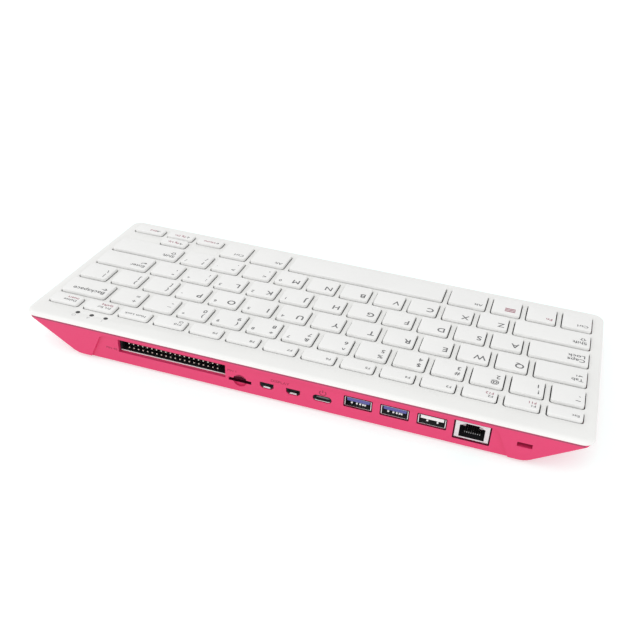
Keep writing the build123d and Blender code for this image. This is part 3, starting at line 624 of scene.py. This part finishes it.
# CAD nodes that keep their own shape
finishes = {
    "bottom_case": pink_shell,
    "rubber_feet": foot_rubber,
    "keyboard_plate": zinc_steel,
    "membrane": membrane_film,
    "keyboard_ribbon": ribbon_film,
    "ribbon_socket": cream_plastic,
    "main_board": board_green,
    "board_screws": zinc_steel,
    "processor": chip_epoxy,
    "memory_chip": chip_epoxy,
    "bus_chip": chip_epoxy,
    "network_chip": chip_epoxy,
    "power_chip": chip_epoxy,
    "radio_can": tinned_steel,
    "thermal_pad": pad_silicone,
    "heat_spreader": mill_aluminium,
    "pin_header": black_plastic_and_painted_shade,
    "header_pins": gold_plate,
    "jack_contacts": gold_plate,
    "fast_tongues": blue_plastic,
    "plain_tongue": milk_plastic_and_painted_highlight,
}
for node, material in finishes.items():
    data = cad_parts[node].data
    data.materials.clear()
    data.materials.append(material)

# Sockets: metal skin outside; painted shade in black on their inner faces, and on the front of some above a
# low strip
data_sockets = [f"data_socket_{index}" for index in (1, 2, 3)]
display_sockets = [f"display_socket_{index}" for index in (1, 2)]
merge_distance = 0.01
skin_depth = 0.02
# Heights on a socket's front above which it carries painted shade in black
unshaded_whole_front = 20.0  # higher than any socket
unshaded_front_strip = 0.5
# Box round the power socket's tongue, whose faces get a painted grey sheen
power_tongue_sheen = (3.21, 0.41)  # half its width and half its height, with a little over


def socket_copy(node, skin, unshaded_front_height=unshaded_whole_front, tongue=(0.0, 0.0)):
    """Copy of a socket: metal skin, painted shade in black inside and on its front above a height, painted
    grey sheen on its tongue.
    """
    low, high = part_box(node)
    middle = (low + high) / 2
    bm = bmesh.new()
    bm.from_mesh(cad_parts[node].data)
    bmesh.ops.remove_doubles(bm, verts=bm.verts, dist=merge_distance * mm)
    for face in bm.faces:
        centre = face.calc_center_median()
        to_sides = [abs(centre[axis] - end[axis]) for end in (low, high) for axis in range(3)]
        # Inner faces, and front faces above the height, carry painted shade in black
        painted_front_shade = face.normal.y > 0.9 and centre.z > low.z + unshaded_front_height * mm
        face.material_index = 0 if min(to_sides) < skin_depth * mm and not painted_front_shade else 1
        # Faces in the middle of the tongue carry a painted grey sheen
        if abs(centre.x - middle.x) < tongue[0] * mm and abs(centre.z - middle.z) < tongue[1] * mm:
            face.material_index = 2
    skins = [skin, black_plastic_and_painted_shade, tongue_painted_sheen]
    finish_piece(f"{node}_plated", bm, "case", skins, [node], smooth=30)


for node in ["network_jack"] + data_sockets:
    socket_copy(node, tinned_steel)
for node in display_sockets:
    socket_copy(node, tinned_steel, unshaded_front_strip)
socket_copy("power_socket", zinc_steel, unshaded_front_strip, power_tongue_sheen)
socket_copy("card_socket", black_plastic_and_painted_shade)


def box_mm(node):
    """Lower and upper corner of a CAD node and the middle of its width, in millimetres."""
    low, high = (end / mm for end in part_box(node))
    return low, high, (low.x + high.x) / 2


# Contacts under the tongues of the data sockets, and the ends of those in the network jack
tongue_reach = 5.2
contact_size = (0.85, 1.6, 0.8)
contact_setback = 1.4
contact_level = 10.0
five_contacts = (-0.62, -0.14, 0.18, 0.44, 0.64)  # places as shares of the tongue's reach
two_contacts = (-0.44, 0.5)
end_count = 8
end_pitch = 1.02
end_size = (0.5, 0.5, 0.4)
end_setback = 3.6
end_level = 6.42
for node, shares in zip(data_sockets, (five_contacts, five_contacts, two_contacts)):
    low, high, middle_x = box_mm(node)
    contacts = bmesh.new()
    for share in shares:
        contact_x = middle_x - share * tongue_reach
        block(contacts, contact_x, high.y - contact_setback, contact_level, *contact_size)
    bmesh.ops.recalc_face_normals(contacts, faces=contacts.faces)
    finish_piece(f"contacts_{node}", contacts, "case", [milk_plastic_and_painted_highlight], (), to_metres)
low, high, middle_x = box_mm("network_jack")
ends = bmesh.new()
for index in range(end_count):
    end_x = middle_x + (index - (end_count - 1) / 2) * end_pitch
    block(ends, end_x, high.y - end_setback, end_level, *end_size)
bmesh.ops.recalc_face_normals(ends, faces=ends.faces)
finish_piece("jack_contact_ends", ends, "case", [lamp_grey], (), to_metres)

# Painted highlights: white strips at the lower lips of the display sockets and the pin header, for the light
# caught there
display_lip_highlight = (3.4, 0.4, 0.55)
display_lip_setback = 0.3
display_lip_rise = 0.1
header_lip_margin = 0.8
header_lip_depth = 0.3
header_lip_height = 0.45
header_lip_level = 8.1
lip_highlights = bmesh.new()
for node in display_sockets:
    low, high, middle_x = box_mm(node)
    block(lip_highlights, middle_x, high.y - display_lip_setback, low.z + display_lip_rise, *display_lip_highlight)
low, high, middle_x = box_mm("pin_header")
header_lip_highlight = (high.x - low.x - header_lip_margin, header_lip_depth, header_lip_height)
block(lip_highlights, middle_x, high.y + header_lip_depth / 2, header_lip_level, *header_lip_highlight)
bmesh.ops.recalc_face_normals(lip_highlights, faces=lip_highlights.faces)
finish_piece("painted_lip_highlights", lip_highlights, "case", [milk_plastic_and_painted_highlight], (), to_metres)

# Flat pieces on the port panel are drawn as seen from the rear, with x to the right and y up
panel_y = 58.9
panel_gap = 0.01
facing_rear = Matrix((
    (-mm, 0, 0, 0),
    (0, 0, mm, (panel_y + panel_gap) * mm),
    (0, mm, 0, 0),
    (0, 0, 0, 1),
))

# Painted shade: dark rings round the sockets for the shadow in their window gaps, a dark arch for the shaded
# upper half of the card slot's scoop, and the slot's dark floor
data_front = (13.2, 5.8)
data_gap = 0.5
jack_width = 16.0
jack_gap = 0.75
gap_corner = 0.6
arch_steps = 16
arch_lift = 0.9
arch_reach = 3.1
arch_height = 1.7
slot_drop = 1.84
slot_setback = 1.0
slot_floor = (11.9, 1.9)
gap_shade = bmesh.new()
for node in ["network_jack"] + data_sockets:
    low, high, middle_x = box_mm(node)
    width, height = data_front if node in data_sockets else (jack_width, high.z - low.z)
    gap = data_gap if node in data_sockets else jack_gap
    ring_y = high.z - height / 2
    ring = round_rectangle(gap_shade, -middle_x, ring_y, 0, width + 2 * gap, height + 2 * gap, gap_corner)
    bmesh.ops.inset_region(gap_shade, faces=[ring], thickness=gap, use_boundary=True, use_even_offset=True)
    bmesh.ops.delete(gap_shade, geom=[ring], context="FACES_ONLY")
low, high, middle_x = box_mm("card_socket")
arch_x, arch_y = -middle_x, (low.z + high.z) / 2 + arch_lift
arch = []
for step in range(arch_steps + 1):
    turn = math.pi * step / arch_steps
    corner = (arch_x + arch_reach * math.cos(turn), arch_y + arch_height * math.sin(turn), 0)
    arch.append(gap_shade.verts.new(corner))
gap_shade.faces.new(arch)
floor_place = Matrix.Translation((arch_x, arch_y - slot_drop, -slot_setback))
floor_place = floor_place @ Matrix.Rotation(-math.pi / 2, 4, "X") @ Matrix.Diagonal((*slot_floor, 1, 1))
bmesh.ops.create_grid(gap_shade, x_segments=1, y_segments=1, size=0.5, matrix=floor_place)
finish_piece("socket_painted_shade", gap_shade, "case", [painted_gap_shade], (), facing_rear)

# Painted shadow: a darker strip on the hull just under the rim, for the shade that the rim's overhang casts
# where the hull meets it
hull_inset = 0.9
hull_rear = 60.1
line_drop = 0.85
line_size = (278.0, 0.8)
seam_foot = (deck @ Vector((0, deck_length / 2 - hull_inset, -rim_height))).z / mm
line_place = Matrix.Translation((0, seam_foot - line_drop, hull_rear - panel_y))
line_place = line_place @ Matrix.Diagonal((*line_size, 1, 1))
line = bmesh.new()
bmesh.ops.create_grid(line, x_segments=1, y_segments=1, size=0.5, matrix=line_place)
finish_piece("seam_painted_shadow", line, "case", [painted_seam_shadow], (), facing_rear)

# Prints on the port panel: text, where it starts, height of its foot and of its capitals
panel_words = (
    ("DISPLAY", 9.6, 12.3, 1.4),
    ("PIN 1", 32.2, 12.6, 1.2),
    ("PIN 40", 98.6, 8.6, 1.2),
    (power_sign, -14.9, 11.4, 2.5),
)
panel_stretch = 1.25
rear_print = bmesh.new()
for body, x, z, cap in panel_words:
    add_text(rear_print, body, -x, z, cap, 0, wide=panel_stretch)
finish_piece("panel_print", rear_print, "case", [print_pink], (), facing_rear)

# Signs behind the lamps
lamp_signs = ("1", "A", power_sign)
sign_shift = 0.6
sign_setback = 2.2
sign_cap = 1.7
lamp_print = bmesh.new()
for (x, y), body in zip(lamp_places, lamp_signs):
    add_text(lamp_print, body, x + sign_shift, y + sign_setback, sign_cap, 0, "CENTER")
lamp_level = deck @ Matrix.Translation((0, 0, print_gap))
finish_piece("lamp_print", lamp_print, "case", [lamp_grey], (), lamp_level)

# Floor, camera and light
floor_reach = 4.0
floor_glow = 0.42
floor_roughness = 0.8
floor_grey = (0.62, 0.62, 0.62)
# Floor colour as seen: green painted in against the hull's pink bounce light
floor_seen_against_pink_bounce = (0.62, 0.82, 0.78)
surround_strength = 0.93
white = (1, 1, 1, 1)
camera_place = (-0.103122, 0.368561, 0.292276)
camera_turn = (53.65029, -2.18533, -162.31563)  # degrees about X, Y and Z
focal_length = 49.968
sensor_width = 36.0
near_limit = 0.01

floor = bmesh.new()
bmesh.ops.create_grid(floor, x_segments=1, y_segments=1, size=floor_reach)
floor_mesh = bpy.data.meshes.new("floor")
floor.to_mesh(floor_mesh)
floor.free()
floor_piece = bpy.data.objects.new("floor", floor_mesh)
bpy.context.scene.collection.objects.link(floor_piece)

camera = bpy.data.cameras.new("camera")
camera.lens = focal_length
camera.sensor_width = sensor_width
camera.clip_start = near_limit
view = bpy.data.objects.new("camera", camera)
bpy.context.scene.collection.objects.link(view)
camera_angles = Euler([math.radians(angle) for angle in camera_turn])
view.matrix_world = Matrix.LocRotScale(Vector(camera_place), camera_angles, None)
bpy.context.scene.camera = view


def seen_rays(tree):
    """1 for rays from the camera, or from a mirror or glass that the camera sees."""
    path = tree.nodes.new("ShaderNodeLightPath")
    total = path.outputs["Is Camera Ray"]
    for kind in ("Is Glossy Ray", "Is Transmission Ray"):
        larger = tree.nodes.new("ShaderNodeMath")
        larger.operation = "MAXIMUM"
        tree.links.new(total, larger.inputs[0])
        tree.links.new(path.outputs[kind], larger.inputs[1])
        total = larger.outputs["Value"]
    return total


def white_studio():
    """Surroundings that light the piece at a plain level and are white where they are seen."""
    world = bpy.data.worlds.new("studio")
    world.use_nodes = True
    tree = world.node_tree
    surround = tree.nodes["Background"]
    surround.inputs["Color"].default_value = white
    surround.inputs["Strength"].default_value = surround_strength
    seen = tree.nodes.new("ShaderNodeBackground")
    seen.inputs["Color"].default_value = white
    mix = tree.nodes.new("ShaderNodeMixShader")
    tree.links.new(seen_rays(tree), mix.inputs["Fac"])
    tree.links.new(surround.outputs["Background"], mix.inputs[1])
    tree.links.new(seen.outputs["Background"], mix.inputs[2])
    tree.links.new(mix.outputs["Shader"], tree.nodes["World Output"].inputs["Surface"])
    return world


def pale_floor():
    """Clear from below; from above, where it is seen, a little green is painted into its colour against the
    pink light that the hull throws on it, so that its shadow looks grey.
    """
    material = bpy.data.materials.new("pale_floor")
    material.use_nodes = True
    tree = material.node_tree
    shader = tree.nodes["Principled BSDF"]
    shader.inputs["Roughness"].default_value = floor_roughness
    shader.inputs["Emission Color"].default_value = white
    shader.inputs["Emission Strength"].default_value = floor_glow
    path = tree.nodes.new("ShaderNodeLightPath")
    tint = blend(tree, path.outputs["Is Camera Ray"], floor_grey, floor_seen_against_pink_bounce, 0.0, 1.0)
    tree.links.new(tint, shader.inputs["Base Color"])
    clear = tree.nodes.new("ShaderNodeBsdfTransparent")
    side = tree.nodes.new("ShaderNodeNewGeometry")
    mix = tree.nodes.new("ShaderNodeMixShader")
    tree.links.new(side.outputs["Backfacing"], mix.inputs["Fac"])
    tree.links.new(shader.outputs["BSDF"], mix.inputs[1])
    tree.links.new(clear.outputs["BSDF"], mix.inputs[2])
    tree.links.new(mix.outputs["Shader"], tree.nodes["Material Output"].inputs["Surface"])
    return material


def soft_lamp(name, place, target, size, power):
    """A large square lamp that looks at a point."""
    lamp = bpy.data.lights.new(name, "AREA")
    lamp.size = size
    lamp.energy = power
    holder = bpy.data.objects.new(name, lamp)
    holder.location = place
    holder.rotation_euler = (Vector(target) - Vector(place)).to_track_quat("-Z", "Y").to_euler()
    bpy.context.scene.collection.objects.link(holder)


bpy.context.scene.world = white_studio()
floor_mesh.materials.append(pale_floor())
soft_lamp("side_lamp", (1.0, 0.6, 0.9), (0, 0, 0), size=1.0, power=3.2)
soft_lamp("rear_lamp", (-0.5, 1.3, 0.5), (0, 0, 0), size=0.8, power=2.5)
bpy.context.scene.view_settings.view_transform = "Standard"

low, high = cad_box
